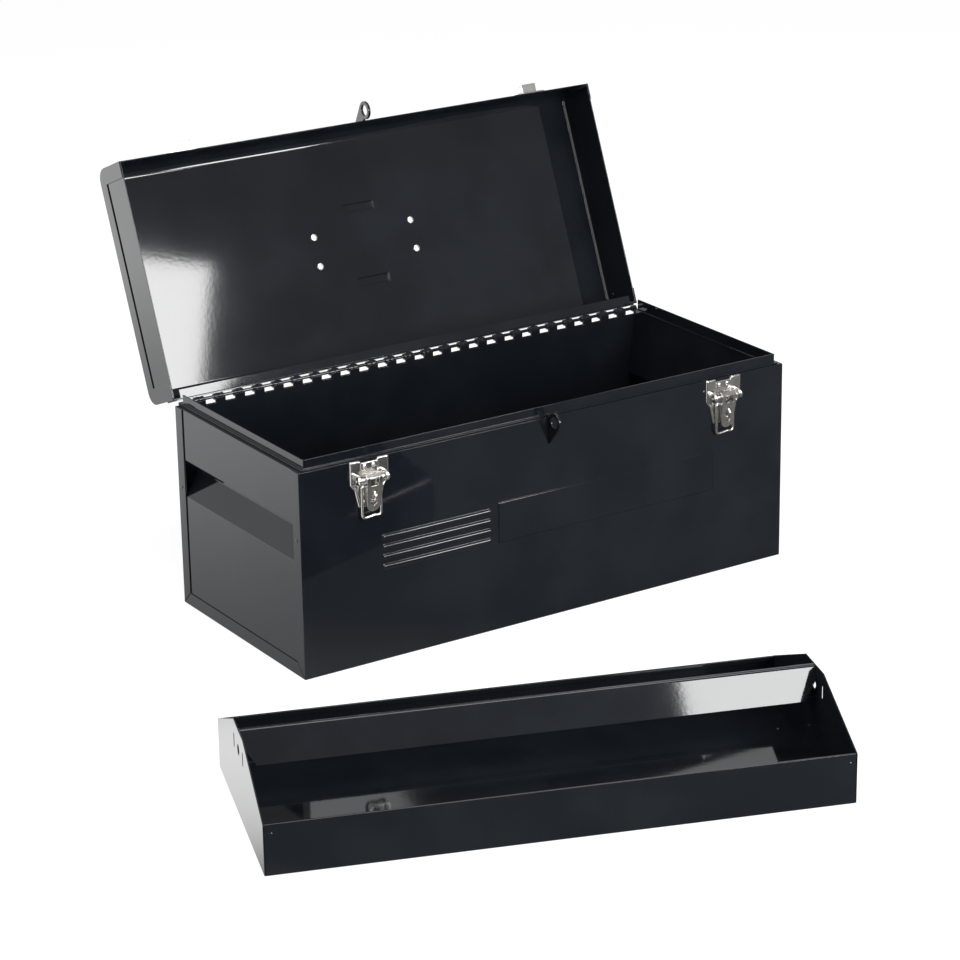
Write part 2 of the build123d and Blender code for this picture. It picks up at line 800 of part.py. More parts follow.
def handle_rivets():
    """Rivets through the lid and the brackets, with a head on both sides."""
    solids = []
    for x in (-rivet_x, rivet_x):
        for y in (-rivet_y, rivet_y):
            inside = lid_top - sheet
            outside = lid_top + bracket_sheet
            rivet = rod_z(inside - rivet_head_height, inside, x, y, rivet_head)
            rivet += rod_z(inside, outside, x, y, rivet_shank)
            rivet += rod_z(outside, outside + rivet_head_height, x, y, rivet_head)
            rims = rivet.edges().filter_by(GeomType.CIRCLE).group_by(Axis.Z)
            solids.append(fillet(rims[0] + rims[-1], rivet_head_height * 0.8))
    return solids


# ================================================================ tote tray
def tray_pan():
    """Floor, front and back of the tray in one sheet, with both top edges folded inwards."""
    half_x = tray_length / 2 - sheet
    half_y = tray_depth / 2
    pan = block(-half_x, half_x, -half_y, half_y, 0, tray_wall)
    pan -= block(-half_x - 1, half_x + 1, -half_y + sheet, half_y - sheet, sheet, tray_wall + 1)
    for side in (-1, 1):
        fold = side * (half_y - 2 * sheet - tray_hem_gap)
        y0, y1 = sorted((fold, fold + side * sheet))
        pan += block(-half_x, half_x, y0, y1, tray_wall - tray_hem, tray_wall)
        y2, y3 = sorted((fold, side * half_y))
        pan += block(-half_x, half_x, y2, y3, tray_wall - sheet, tray_wall)
    return pan


def tray_end():
    """Left end plate: upright sides, slopes, a flat top, two slots and a six-sided hole."""
    half_x = tray_length / 2
    half_y = tray_depth / 2
    outline = [
        (-half_y, 0), (half_y, 0), (half_y, tray_wall), (tray_flat_half, tray_peak),
        (-tray_flat_half, tray_peak), (-half_y, tray_wall),
    ]
    plate = along_x(outline, -half_x, -half_x + sheet)
    for side in (-1, 1):
        plate -= block(
            -half_x - 1, -half_x + 2, side * tray_slot_y - 1.5, side * tray_slot_y + 1.5,
            tray_hole_z - tray_slot_height / 2, tray_hole_z + tray_slot_height / 2,
        )
    hexagon = Pos(0, tray_hole_z) * RegularPolygon(tray_hex, 6, major_radius=False)
    return plate - carry_x(hexagon, -half_x - 1, -half_x + 2)


def spine_slab(inset):
    """Solid of the spine's outline, inset from the outside of the fold: a steep ridge with a round top."""
    half_x = tray_length / 2 - sheet
    low = tray_peak - spine_height
    lean = math.radians(spine_lean)
    side = inset / math.cos(lean)
    top = tray_peak - inset
    half_top = spine_top / 2 + inset * math.tan(lean) - side
    base = low - 2 * inset
    half_low = half_top + (top - base) * math.tan(lean)
    section = [(-half_low, base), (half_low, base), (half_top, top), (-half_top, top)]
    slab = along_x(section, -half_x, half_x)
    return fillet(slab.edges().filter_by(Axis.X).group_by(Axis.Z)[-1], spine_radius - inset)


def tray_spine():
    """Sheet folded down both sides of the middle, to lift the tray by; its lower corners are cut back."""
    half_x = tray_length / 2 - sheet
    low = tray_peak - spine_height
    spine = spine_slab(0) - spine_slab(sheet)
    for side in (-1, 1):
        corner = side * half_x
        spine -= along_y(
            [(corner, low), (corner - side * spine_chamfer, low), (corner, tray_peak - spine_chamfer)],
            -tray_depth / 2, tray_depth / 2,
        )
    return spine


def tray_rivets():
    """Small rivet heads: two on each end's foot, one on each wall near each end."""
    half_x = tray_length / 2
    half_y = tray_depth / 2
    heads = []
    for side in (-1, 1):
        x = side * (half_x - 6.0)
        heads.append(rod_y(-half_y - small_head_height, -half_y, x, tray_wall - 8, small_head))
        heads.append(rod_y(half_y, half_y + small_head_height, x, tray_wall - 8, small_head))
        for y in (-46.0, 46.0):
            heads.append(rod_z(sheet, sheet + small_head_height, side * (half_x - 14.0), y, small_head))
    return heads


# ================================================================ build
for shape, name in zip(wrap_parts(), ("front_panel", "bottom_panel", "back_panel")):
    save(shape, name)
save(end_panel(), "end_panel_left")
save(mirrored(end_panel()), "end_panel_right")
save(handle_band(), "handle_band_left")
save(mirrored(handle_band()), "handle_band_right")
save(rim_frame(), "rim_frame")
save_group(end_rivets(), "end_rivets")
save(hinge_body_leaf(), "hinge_body_leaf")
save(hinge_pin(), "hinge_pin")
save(body_eye(), "body_padlock_eye")

save(opened(hinge_lid_leaf()), "hinge_lid_leaf")
save(opened(lid_shell()), "lid_shell")
save(opened(lid_end()), "lid_end_left")
save(opened(mirrored(lid_end())), "lid_end_right")
save_group([opened(s) for s in lid_end_rivets()], "lid_end_rivets")
save(opened(lid_eye()), "lid_padlock_eye")
save(opened(handle_bracket()), "handle_bracket_left")
save(opened(mirrored(handle_bracket())), "handle_bracket_right")
save(opened(carry_handle()), "carry_handle")
save_group([opened(s) for s in handle_rivets()], "handle_rivets")

pins, rivets, hooks = [], [], []
for side, name in ((-1, "left"), (1, "right")):
    here = Pos(side * latch_x, 0, 0)
    save(here * latch_plate(), f"latch_plate_{name}")
    save(here * latch_lever(), f"latch_lever_{name}")
    save(here * latch_bail(), f"latch_bail_{name}")
    save(here * latch_staple(), f"latch_staple_{name}")
    save(opened(here * catch()), f"catch_{name}")
    pins.append(here * latch_pin())
    rivets += [here * r for r in latch_rivets()]
    hooks += [opened(here * r) for r in catch_rivets()]
save_group(pins, "latch_pins")
save_group(rivets, "latch_rivets")
save_group(hooks, "catch_rivets")

save(on_floor(tray_pan()), "tray_pan")
save(on_floor(tray_end()), "tray_end_left")
save(on_floor(mirrored(tray_end())), "tray_end_right")
save(on_floor(tray_spine()), "tray_spine")
save_group([on_floor(s) for s in tray_rivets()], "tray_rivets")
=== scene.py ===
"""Machinist tool chest in black enamel, standing open with its tote tray in front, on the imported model.

Everything is in metres in the chest's own frame: the origin is the middle of its base, +Z is up, the
latches face -Y and the lid's hinge runs along X at the back. Sizes below are written in millimetres.
"""

from __future__ import annotations

import json
import logging
import math
from collections.abc import Sequence
from dataclasses import dataclass, field
from enum import Enum

import bmesh
import bpy
import numpy as np
from mathutils import Matrix, Vector


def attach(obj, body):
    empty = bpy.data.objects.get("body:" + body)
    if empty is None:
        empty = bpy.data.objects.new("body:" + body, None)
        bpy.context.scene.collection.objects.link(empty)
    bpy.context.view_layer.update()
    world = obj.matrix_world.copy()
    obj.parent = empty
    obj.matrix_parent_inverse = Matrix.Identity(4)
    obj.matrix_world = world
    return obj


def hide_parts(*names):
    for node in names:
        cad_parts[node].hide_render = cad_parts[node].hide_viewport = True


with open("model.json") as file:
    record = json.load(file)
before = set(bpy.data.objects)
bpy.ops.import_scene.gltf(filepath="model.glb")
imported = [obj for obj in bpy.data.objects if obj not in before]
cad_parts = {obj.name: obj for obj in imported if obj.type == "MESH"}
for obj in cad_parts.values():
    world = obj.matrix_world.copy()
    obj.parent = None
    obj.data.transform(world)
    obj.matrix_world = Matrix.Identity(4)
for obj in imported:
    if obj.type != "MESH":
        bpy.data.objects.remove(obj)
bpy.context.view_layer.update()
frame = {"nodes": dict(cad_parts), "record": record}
LOG = logging.getLogger("tool_chest")
MM = 0.001
DOUBLES_M = 1e-7  # corners of a worked-out piece nearer than this are one
COPY_DOUBLES_M = 2e-6  # the same for a copy of a CAD node
FLAT_TURN = math.radians(0.4)  # faces that turn less than this are one flat face
EDGE_TURN = math.radians(32)  # edges that turn more than this are rounded
Points = np.ndarray
Faces = list[Sequence[int]]
Surface = tuple[Points, Faces]


class Body(Enum):
    """The rigid bodies that pieces ride on."""

    CHEST = "chest_body"
    LID = "lid"
    CARRY = "carry_bail"
    LEFT_LEVER = "left_lever"
    RIGHT_LEVER = "right_lever"
    LEFT_LOOP = "left_loop"
    RIGHT_LOOP = "right_loop"
    TRAY = "tote_tray"


class Slot(Enum):
    """The record's finishes."""

    BLACK = "black_enamel"
    TRAY = "tray_enamel"
    NICKEL = "nickel_plate"
    BRIGHT = "bright_steel"


# ---------------------------------------------------------------- shader maths
class Wire:
    """An output socket on which Python's operators add Math nodes."""

    def __init__(self, graph: Graph, socket: bpy.types.NodeSocket) -> None:
        """Keep the socket and the graph that it belongs to."""
        self.graph = graph
        self.socket = socket

    def _math(self, operation: str, *terms: Wire | float, clamp: bool = False) -> Wire:
        """Add one Math node.

        Args:
            operation: Blender's name of the operation.
            terms: the values or links of its sockets, in order.
            clamp: whether the result is held between 0 and 1.

        Returns:
            The node's result.
        """
        settings = {"operation": operation, "use_clamp": clamp}
        made = self.graph.node("ShaderNodeMath", settings, dict(enumerate(terms)))
        return Wire(self.graph, made.outputs[0])

    def __add__(self, other: Wire | float) -> Wire:
        """Sum."""
        return self._math("ADD", self, other)

    def __radd__(self, other: float) -> Wire:
        """Sum with a number first."""
        return self._math("ADD", other, self)

    def __sub__(self, other: Wire | float) -> Wire:
        """Difference."""
        return self._math("SUBTRACT", self, other)

    def __rsub__(self, other: float) -> Wire:
        """Difference with a number first."""
        return self._math("SUBTRACT", other, self)

    def __mul__(self, other: Wire | float) -> Wire:
        """Product."""
        return self._math("MULTIPLY", self, other)

    def __rmul__(self, other: float) -> Wire:
        """Product with a number first."""
        return self._math("MULTIPLY", other, self)

    def clamped(self) -> Wire:
        """The same value held between 0 and 1."""
        return self._math("ADD", self, 0.0, clamp=True)

    def step(self, low: float, high: float) -> Wire:
        """Smooth rise from 0 at low to 1 at high.

        Args:
            low: the value at which it starts.
            high: the value at which it ends; below low, it falls instead.

        Returns:
            A value from 0 to 1.
        """
        settings = {"interpolation_type": "SMOOTHSTEP"}
        sockets = {"Value": self, "From Min": low, "From Max": high}
        made = self.graph.node("ShaderNodeMapRange", settings, sockets)
        return Wire(self.graph, made.outputs["Result"])


class Graph:
    """A node tree with one method that adds nodes."""

    def __init__(self, owner: bpy.types.Material | bpy.types.World) -> None:
        """Empty the owner's tree and start from its output.

        Args:
            owner: the material or world whose surface is built.
        """
        owner.use_nodes = True
        self.tree = owner.node_tree
        self.tree.nodes.clear()
        world = isinstance(owner, bpy.types.World)
        self.output = self.tree.nodes.new("ShaderNodeOutputWorld" if world else "ShaderNodeOutputMaterial")

    def node(
        self,
        kind: str,
        settings: dict[str, object] | None = None,
        sockets: dict[str | int, object] | None = None,
    ) -> bpy.types.Node:
        """Add a node.

        Args:
            kind: the node's type.
            settings: its properties, which are set first.
            sockets: values, or wires and sockets to link, by input name or number.

        Returns:
            The node.
        """
        made = self.tree.nodes.new(kind)
        for name, value in (settings or {}).items():
            setattr(made, name, value)
        for name, value in (sockets or {}).items():
            target = made.inputs[name]
            if isinstance(value, Wire):
                self.tree.links.new(value.socket, target)
            elif isinstance(value, bpy.types.NodeSocket):
                self.tree.links.new(value, target)
            else:
                target.default_value = value
        return made

    def place(self) -> bpy.types.NodeSocket:
        """Object coordinates, in metres."""
        return self.node("ShaderNodeTexCoord").outputs["Object"]

    def noise(self, size_mm: float, detail: float = 2.0, stretch: Sequence[float] = (1, 1, 1)) -> Wire:
        """Noise whose grain is about size_mm across.

        Args:
            size_mm: size of the grain.
            detail: octaves.
            stretch: how much finer it is along X, Y and Z.

        Returns:
            A value from 0 to 1.
        """
        mapped = self.node("ShaderNodeMapping", None, {"Vector": self.place(), "Scale": tuple(stretch)})
        made = self.node(
            "ShaderNodeTexNoise", None,
            {"Vector": mapped.outputs[0], "Scale": 1000.0 / size_mm, "Detail": detail, "Roughness": 0.55},
        )
        return Wire(self, made.outputs["Fac"])

    def blend(self, share: Wire, first: Sequence[float], second: Sequence[float]) -> bpy.types.NodeSocket:
        """Colour that goes from first to second with share.

        Args:
            share: 0 for the first colour, 1 for the second.
            first: red, green and blue.
            second: the same of the other colour.

        Returns:
            The colour.
        """
        sockets = {"Factor": share, 6: (*first, 1.0), 7: (*second, 1.0)}
        made = self.node("ShaderNodeMix", {"data_type": "RGBA"}, sockets)
        return made.outputs[2]

    def bump(
        self, height: Wire, depth_mm: float, strength: float, under: bpy.types.NodeSocket | None = None
    ) -> bpy.types.NodeSocket:
        """Bump of that depth.

        Args:
            height: value from 0 to 1.
            depth_mm: height of 1, in millimetres.
            strength: share of the effect.
            under: a normal that this one goes on top of.

        Returns:
            The normal.
        """
        sockets: dict[str | int, object] = {"Height": height, "Distance": depth_mm * MM, "Strength": strength}
        if under is not None:
            sockets["Normal"] = under
        return self.node("ShaderNodeBump", None, sockets).outputs["Normal"]

    def finish(self, shader: bpy.types.Node) -> None:
        """Link a shader to the output."""
        self.tree.links.new(shader.outputs[0], self.output.inputs["Surface"])


# ---------------------------------------------------------------- finishes
@dataclass(frozen=True)
class Enamel:
    """Stoved gloss enamel on sheet: near black, with orange peel and a little dust."""

    name: str
    dark: tuple[float, float, float] = (0.0048, 0.0062, 0.0084)
    light: tuple[float, float, float] = (0.0080, 0.0098, 0.0126)
    roughness: float = 0.055
    cloud_mm: float = 70.0
    speck_mm: float = 0.9
    peel_mm: float = 3.2
    peel_depth_mm: float = 0.012
    fine_mm: float = 0.8
    fine_depth_mm: float = 0.002
    refraction: float = 1.47

    def material(self) -> bpy.types.Material:
        """Build the material."""
        made = bpy.data.materials.new(self.name)
        graph = Graph(made)
        cloud = graph.noise(self.cloud_mm, 3.0)
        speck = graph.noise(self.speck_mm, 1.0).step(0.66, 0.74)
        peel = graph.noise(self.peel_mm, 2.0)
        fine = graph.noise(self.fine_mm, 1.0)
        share = (cloud.step(0.35, 0.7) * 0.8 + speck * 0.2).clamped()
        colour = graph.blend(share, self.dark, self.light)
        rough = cloud * 0.03 + speck * 0.05 + (self.roughness - 0.02)
        normal = graph.bump(peel, self.peel_depth_mm, 0.55)
        normal = graph.bump(fine, self.fine_depth_mm, 0.35, normal)
        sockets = {
            "Base Color": colour, "Roughness": rough, "Normal": normal,
            "IOR": self.refraction, "Specular IOR Level": 0.5,
        }
        graph.finish(graph.node("ShaderNodeBsdfPrincipled", None, sockets))
        return made


@dataclass(frozen=True)
class Plate:
    """Bright plated or bare metal with fine scratches and cloudy polish."""

    name: str
    bright: tuple[float, float, float]
    dull: tuple[float, float, float]
    roughness: float
    scratch: tuple[float, float, float] = (1.0, 1.0, 9.0)
    cloud_mm: float = 6.0
    cloud_depth_mm: float = 0.03
    line_mm: float = 1.6
    line_depth_mm: float = 0.004

    def material(self) -> bpy.types.Material:
        """Build the material."""
        made = bpy.data.materials.new(self.name)
        graph = Graph(made)
        cloud = graph.noise(self.cloud_mm, 3.0)
        line = graph.noise(self.line_mm, 2.0, self.scratch)
        colour = graph.blend(cloud.step(0.38, 0.68), self.bright, self.dull)
        rough = cloud * 0.10 + line * 0.10 + (self.roughness - 0.10)
        normal = graph.bump(line, self.line_depth_mm, 0.4)
        normal = graph.bump(cloud, self.cloud_depth_mm, 0.35, normal)
        sockets = {"Base Color": colour, "Roughness": rough, "Metallic": 1.0, "Normal": normal}
        graph.finish(graph.node("ShaderNodeBsdfPrincipled", None, sockets))
        return made


@dataclass
class Finishes:
    """The finishes, each built once."""

    made: dict[Slot, bpy.types.Material] = field(default_factory=dict)

    def build(self) -> Finishes:
        """Build every finish.

        Returns:
            This object.
        """
        self.made[Slot.BLACK] = Enamel("black_enamel_gloss").material()
        self.made[Slot.TRAY] = Enamel("tray_enamel_gloss", roughness=0.05, peel_depth_mm=0.010).material()
        self.made[Slot.NICKEL] = Plate(
            "nickel_plate_bright", (0.80, 0.785, 0.755), (0.66, 0.65, 0.62), 0.20
        ).material()
        self.made[Slot.BRIGHT] = Plate(
            "bright_steel_rivet", (0.92, 0.92, 0.92), (0.80, 0.80, 0.80), 0.42, (1.0, 1.0, 1.0)
        ).material()
        return self

    def put(self, piece: bpy.types.Object, slot: Slot) -> bpy.types.Object:
        """Give a piece one finish.

        Args:
            piece: a new piece or a CAD node's object.
            slot: the finish.

        Returns:
            The piece.
        """
        piece.data.materials.clear()
        piece.data.materials.append(self.made[slot])
        return piece


# ---------------------------------------------------------------- surfaces
def as_object(name: str, points: Points, faces: Sequence[Sequence[int]]) -> bpy.types.Object:
    """Object at the origin from points in metres and faces.

    Args:
        name: name of the piece.
        points: one row for each point.
        faces: indices of each face's corners.

    Returns:
        The object, linked to the scene.
    """
    mesh = bpy.data.meshes.new(name)
    mesh.from_pydata(points.tolist(), [], [list(map(int, f)) for f in faces])
    mesh.validate()
    for polygon in mesh.polygons:
        polygon.use_smooth = True
    made = bpy.data.objects.new(name, mesh)
    bpy.context.scene.collection.objects.link(made)
    return made


def grid_faces(rows: int, columns: int, round_rows: bool, round_columns: bool, first: int = 0) -> np.ndarray:
    """Quads of a grid of points; a round direction joins its end to its start.

    Args:
        rows: points along the first parameter.
        columns: points along the second.
        round_rows: whether the first parameter closes on itself.
        round_columns: whether the second does.
        first: index of the grid's first point.

    Returns:
        One row of four indices for each quad.
    """
    i = np.arange(rows if round_rows else rows - 1)
    j = np.arange(columns if round_columns else columns - 1)
    i, j = np.meshgrid(i, j, indexing="ij")
    i1, j1 = (i + 1) % rows, (j + 1) % columns
    quads = np.stack([i * columns + j, i1 * columns + j, i1 * columns + j1, i * columns + j1], -1)
    return quads.reshape(-1, 4) + first


def ring_faces(rows: int, columns: int) -> Faces:
    """Quads between closed rings of points, with one face over each end.

    Args:
        rows: number of rings.
        columns: points on each ring.

    Returns:
        The faces, of a closed surface.
    """
    faces: Faces = list(grid_faces(rows, columns, False, True))
    faces.append(list(range(columns)))
    faces.append(list(range((rows - 1) * columns, rows * columns))[::-1])
    return faces


def rounded_path(corners: Sequence[Sequence[float]], radii: Sequence[float], steps: int = 10) -> Points:
    """Centre line of a bent wire: straight runs joined by tangent arcs.

    At a corner the arc starts at radius times tan(half the turn) before the corner, and each of its points
    is the arc's centre plus the radius turned from the first tangent point to the second.

    Args:
        corners: the ends and the corners, in millimetres.
        radii: bend radius at each inner corner.
        steps: points on each arc.

    Returns:
        Points along the line, in millimetres.
    """
    at = np.asarray(corners, float)
    pieces = [at[:1]]
    for index, radius in enumerate(radii, start=1):
        before = at[index] - at[index - 1]
        after = at[index + 1] - at[index]
        before, after = before / np.linalg.norm(before), after / np.linalg.norm(after)
        turn = math.acos(float(np.clip(before @ after, -1, 1)))
        reach = radius * math.tan(turn / 2)
        start, end = at[index] - before * reach, at[index] + after * reach
        inward = after - before
        centre = at[index] + inward / np.linalg.norm(inward) * radius / math.cos(turn / 2)
        share = np.linspace(0, 1, steps)[:, None]
        arm = np.sin((1 - share) * turn) * (start - centre) + np.sin(share * turn) * (end - centre)
        pieces.append(centre + arm / math.sin(turn))
    pieces.append(at[-1:])
    return np.concatenate(pieces)


def tube(path: Points, radius: float | np.ndarray, sides: int = 16) -> Surface:
    """Round wire along a path, closed by a shallow cap at each end.

    Each ring is the path's point plus radius times (cos a times one cross direction plus sin a times the
    other); the cross directions are carried along the path without twist. A cap's rings have the shares in
    cap of the radius, and stand out by bulge times radius times the root of 1 minus the share squared.

    Args:
        path: centre line in millimetres.
        radius: one radius, or one for each point.
        sides: points round the wire.

    Returns:
        Points in millimetres and faces.
    """
    tangent = np.gradient(path, axis=0)
    tangent /= np.linalg.norm(tangent, axis=1, keepdims=True)
    side = np.cross(tangent[0], (0.13, 0.37, 0.92))
    sides_at = []
    for along in tangent:
        side = side - along * (side @ along)
        side = side / np.linalg.norm(side)
        sides_at.append(side)
    one = np.array(sides_at)
    two = np.cross(tangent, one)
    size = np.broadcast_to(np.asarray(radius, float), (len(path),))
    cap, bulge = np.array([0.35, 0.75, 0.95]), 0.45
    out = bulge * (1 - cap[:, None] ** 2) ** 0.5
    head = path[0] - tangent[0] * size[0] * out
    tail = (path[-1] + tangent[-1] * size[-1] * out)[::-1]
    centres = np.concatenate([head, path, tail])
    sizes = np.concatenate([size[0] * cap, size, size[-1] * cap[::-1]])
    one = np.concatenate([np.repeat(one[:1], len(cap), 0), one, np.repeat(one[-1:], len(cap), 0)])
    two = np.concatenate([np.repeat(two[:1], len(cap), 0), two, np.repeat(two[-1:], len(cap), 0)])
    angle = np.linspace(0, 2 * math.pi, sides, endpoint=False)
    rings = centres[:, None] + sizes[:, None, None] * (
        np.cos(angle)[None, :, None] * one[:, None] + np.sin(angle)[None, :, None] * two[:, None]
    )
    return rings.reshape(-1, 3), ring_faces(len(centres), sides)


def dome(
    centre: Sequence[float],
    axis: Sequence[float],
    radius: float,
    height: float,
    flat: float = 0.35,
    sides: int = 24,
) -> Surface:
    """Rivet head: a profile turned about an axis.

    As t goes from 0 to a quarter turn, the profile's radius is radius times (flat times cos(t) cubed plus the
    rest times cos(t)) and its level is height times sin(t) to the power of 0.9, so it is a low dome. Its first
    ring lies a little under the sheet's surface.

    Args:
        centre: middle of the head's seat, in millimetres.
        axis: direction that the head stands out in.
        radius: seat radius.
        height: height of the dome.
        flat: share of the cubed term, which draws the upper part in.
        sides: points round the head.

    Returns:
        Points in millimetres and faces.
    """
    sunk, roundness, crown = 0.15, 0.9, 0.02
    up = np.asarray(axis, float) / np.linalg.norm(axis)
    one = np.cross(up, (0.31, 0.17, 0.93))
    one /= np.linalg.norm(one)
    two = np.cross(up, one)
    t = np.linspace(0, math.pi / 2, 9)
    radial = radius * (flat * np.cos(t) ** 3 + (1 - flat) * np.cos(t))
    radial[-1] = radius * crown
    level = height * np.sin(t) ** roundness
    radial = np.concatenate([[radius], radial])
    level = np.concatenate([[-sunk], level])
    angle = np.linspace(0, 2 * math.pi, sides, endpoint=False)
    ring = np.cos(angle)[:, None] * one + np.sin(angle)[:, None] * two
    points = np.asarray(centre, float) + radial[:, None, None] * ring[None] + level[:, None, None] * up
    faces: Faces = list(grid_faces(len(radial), sides, False, True))
    faces.append([(len(radial) - 1) * sides + k for k in range(sides)][::-1])
    return points.reshape(-1, 3), faces


def joined(parts: Sequence[Surface]) -> Surface:
    """Several surfaces as one.

    Args:
        parts: points and faces of each.

    Returns:
        All points, and all faces with their indices moved on.
    """
    points: list[Points] = []
    faces: Faces = []
    first = 0
    for at, polygons in parts:
        points.append(at)
        faces += [[int(k) + first for k in polygon] for polygon in polygons]
        first += len(at)
    return np.concatenate(points), faces


def outwards(piece: bpy.types.Object) -> bpy.types.Object:
    """Turn a piece's faces outwards after merging its doubles.

    Args:
        piece: the piece.

    Returns:
        The same piece.
    """
    work = bmesh.new()
    work.from_mesh(piece.data)
    bmesh.ops.remove_doubles(work, verts=work.verts, dist=DOUBLES_M)
    bmesh.ops.recalc_face_normals(work, faces=work.faces)
    work.to_mesh(piece.data)
    work.free()
    return piece


@dataclass(frozen=True)
class Hinge:
    """The lid's hinge line and how far the lid is turned back from shut."""

    y: float = 112.2
    z: float = 185.5
    angle: float = 112.2

    def opened(self, points: Points) -> Points:
        """Turn points of the shut lid about the hinge line.

        Args:
            points: where they are with the lid shut, in millimetres.

        Returns:
            Where they are with the lid open.
        """
        turn = -math.radians(self.angle)
        y, z = points[..., 1] - self.y, points[..., 2] - self.z
        out = np.array(points, float)
        out[..., 1] = self.y + y * math.cos(turn) - z * math.sin(turn)
        out[..., 2] = self.z + y * math.sin(turn) + z * math.cos(turn)
        return out


@dataclass(frozen=True)
class Floorplan:
    """Where the tray stands beside the chest."""

    x: float = -210.0
    y: float = -388.0
    turn: float = -19.25

    def placed(self, points: Points) -> Points:
        """Turn and move points of the tray to where it stands.

        Args:
            points: where they are in the tray's own frame, in millimetres.

        Returns:
            Where they are beside the chest.
        """
        turn = math.radians(self.turn)
        out = np.array(points, float)
        out[..., 0] = self.x + points[..., 0] * math.cos(turn) - points[..., 1] * math.sin(turn)
        out[..., 1] = self.y + points[..., 0] * math.sin(turn) + points[..., 1] * math.cos(turn)
        return out


# ---------------------------------------------------------------- pieces
@dataclass
class Shop:
    """Makes pieces, dresses them and puts them on their bodies."""

    finishes: Finishes
    count: int = 0

    def add(
        self, name: str, made: Surface, body: Body, slot: Slot, nodes: Sequence[str] = ()
    ) -> bpy.types.Object:
        """Put a worked-out surface on a body.

        Args:
            name: the piece's name.
            made: points in millimetres, at rest, and faces.
            body: what it rides on.
            slot: its finish.
            nodes: CAD nodes that it stands for.

        Returns:
            The piece.
        """
        points, faces = made
        piece = outwards(as_object(name, points * MM, faces))
        return self.mount(piece, body, slot, nodes)

    def mount(
        self, piece: bpy.types.Object, body: Body, slot: Slot, nodes: Sequence[str] = ()
    ) -> bpy.types.Object:
        """Dress a piece, ride it on its body and hide the CAD nodes that it stands for.

        Args:
            piece: the piece.
            body: what it rides on.
            slot: its finish.
            nodes: CAD nodes that it stands for.

        Returns:
            The piece.
        """
        self.finishes.put(piece, slot)
        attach(piece, body.value)
        if nodes:
            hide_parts(*nodes)
        self.count += 1
        LOG.info("piece %s on %s", piece.name, body.value)
        return piece

    def eased(
        self, node: str, body: Body, slot: Slot, bevel_mm: float = 0.42, segments: int = 3
    ) -> bpy.types.Object:
        """Copy a CAD node with its doubles merged and its sheet edges rounded, and let it stand for the node.

        Args:
            node: the CAD node.
            body: what it rides on.
            slot: its finish.
            bevel_mm: how far the rounding reaches.
            segments: steps across it.

        Returns:
            The piece.
        """
        mesh = frame["nodes"][node].data.copy()
        mesh.name = node + "_eased"
        work = bmesh.new()
        work.from_mesh(mesh)
        bmesh.ops.remove_doubles(work, verts=work.verts, dist=COPY_DOUBLES_M)
        bmesh.ops.dissolve_limit(work, angle_limit=FLAT_TURN, verts=work.verts, edges=work.edges)
        work.to_mesh(mesh)
        work.free()
        for polygon in mesh.polygons:
            polygon.use_smooth = True
        piece = bpy.data.objects.new(node + "_eased", mesh)
        bpy.context.scene.collection.objects.link(piece)
        rounding = piece.modifiers.new("rounding", "BEVEL")
        rounding.width = bevel_mm * MM
        rounding.segments = segments
        rounding.limit_method = "ANGLE"
        rounding.angle_limit = EDGE_TURN
        rounding.use_clamp_overlap = False
        rounding.miter_outer = "MITER_ARC"
        evened = piece.modifiers.new("evened", "WEIGHTED_NORMAL")
        evened.mode = "FACE_AREA"
        evened.weight = 100
        evened.keep_sharp = False
        return self.mount(piece, body, slot, [node])


@dataclass
class ChestBody:
    """Panels, grip bands, rim and end rivets of the chest."""

    half_length: float = 254.0
    half_depth: float = 108.0
    flange: float = 12.0
    inner_x: float = 252.0
    front_rivet_z: float = 125.0
    back_rivet_z: float = 112.0
    rivet_radius: float = 1.9
    rivet_height: float = 0.7

    def build(self, shop: Shop) -> None:
        """Make every piece of the chest's body."""
        for node in ("front_panel", "back_panel", "bottom_panel", "rim_frame"):
            shop.eased(node, Body.CHEST, Slot.BLACK)
        for side in ("left", "right"):
            shop.eased(f"end_panel_{side}", Body.CHEST, Slot.BLACK)
            shop.eased(f"handle_band_{side}", Body.CHEST, Slot.BLACK)
        shop.eased("body_padlock_eye", Body.CHEST, Slot.BLACK, 0.5)
        shop.add("end_rivet_heads", self.rivets(), Body.CHEST, Slot.BLACK, ["end_rivets"])

    def rivets(self) -> Surface:
        """Heads on the end strips and on the inner faces of the bands."""
        heads = []
        for side in (-1, 1):
            for edge, z in ((-1, self.front_rivet_z), (1, self.back_rivet_z)):
                y = edge * (self.half_depth - self.flange / 2)
                for x, out in ((self.half_length, side), (self.inner_x, -side)):
                    heads.append(dome((side * x, y, z), (out, 0, 0), self.rivet_radius, self.rivet_height))
        return joined(heads)


@dataclass
class PianoHinge:
    """The full-length hinge: two leaves and the wire that they turn on."""

    hinge: Hinge = field(default_factory=Hinge)
    half_length: float = 248.0
    wire_radius: float = 1.5
    cap: float = 0.6

    def build(self, shop: Shop) -> None:
        """Make both leaves and the wire."""
        shop.eased("hinge_body_leaf", Body.CHEST, Slot.BLACK, 0.22, 2)
        shop.eased("hinge_lid_leaf", Body.LID, Slot.BLACK, 0.22, 2)
        end = self.half_length - self.cap
        ends = np.array([[x, self.hinge.y, self.hinge.z] for x in (-end, 0, end)])
        shop.add("hinge_wire", tube(ends, self.wire_radius, 20), Body.CHEST, Slot.BLACK, ["hinge_pin"])


